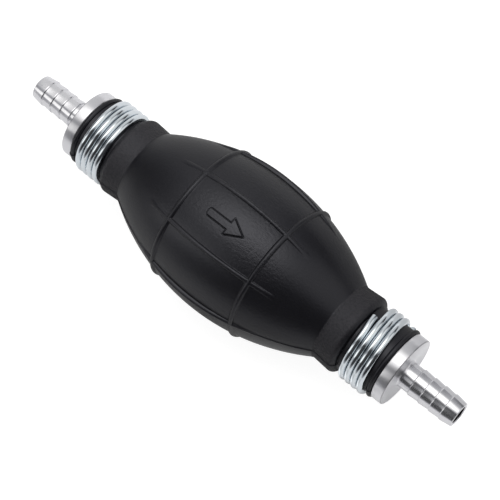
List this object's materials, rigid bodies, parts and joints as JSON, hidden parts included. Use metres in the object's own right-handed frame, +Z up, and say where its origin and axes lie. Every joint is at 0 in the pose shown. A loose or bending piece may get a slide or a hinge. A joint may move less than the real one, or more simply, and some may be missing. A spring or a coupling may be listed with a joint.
{
  "type": "siphon bulb pump",
  "caption": "Ribbed rubber squeeze bulb between two turned barbed hose fittings, each held by a wound wire clamp and holding a spring-loaded check valve; an arrow shows the flow.",
  "frame": {"origin": "middle of the bulb on the pump's long axis, midway between the two hose barb tips", "axes": "+X along the pump in the direction of flow, towards the outlet barb; +Z up through the flow arrow on the bulb; +Y completes the right-handed frame"},
  "size_m": [0.168, 0.049, 0.0495],
  "materials": {
    "bulb_rubber": "moulded black rubber, semi-matt, with a faint orange peel",
    "turned_aluminium": "bright turned aluminium with fine lathe marks",
    "zinc_wire": "bright zinc-plated drawn steel wire with a bluish tint",
    "seat_brass": "turned brass",
    "seal_rubber": "smooth black nitrile rubber",
    "acetal": "moulded natural acetal",
    "spring_wire": "drawn stainless spring wire",
    "ring_steel": "phosphated spring steel"
  },
  "bodies": {
    "housing": {"bulb": "bulb_rubber", "inlet_fitting": "turned_aluminium", "inlet_clamp": "zinc_wire", "outlet_fitting": "turned_aluminium", "outlet_clamp": "zinc_wire", "inlet_valve_seat": "seat_brass", "inlet_seat_seal": "seal_rubber", "inlet_spring": "spring_wire", "inlet_cage": "acetal", "inlet_retaining_ring": "ring_steel", "outlet_valve_seat": "seat_brass", "outlet_seat_seal": "seal_rubber", "outlet_spring": "spring_wire", "outlet_cage": "acetal", "outlet_retaining_ring": "ring_steel"},
    "inlet_valve_poppet": {"inlet_poppet": "acetal", "inlet_poppet_seal": "seal_rubber"},
    "outlet_valve_poppet": {"outlet_poppet": "acetal", "outlet_poppet_seal": "seal_rubber"}
  },
  "joints": [
    {"name": "inlet_valve", "type": "slide", "parent": "housing", "child": "inlet_valve_poppet", "axis": [1, 0, 0], "range_m": [0, 0.0025], "stiffness_N_per_m": 60, "springref_m": -0.0015, "deforming": ["inlet_spring"]},
    {"name": "outlet_valve", "type": "slide", "parent": "housing", "child": "outlet_valve_poppet", "axis": [1, 0, 0], "range_m": [0, 0.0025], "stiffness_N_per_m": 60, "springref_m": -0.0015, "deforming": ["outlet_spring"]}
  ]
}
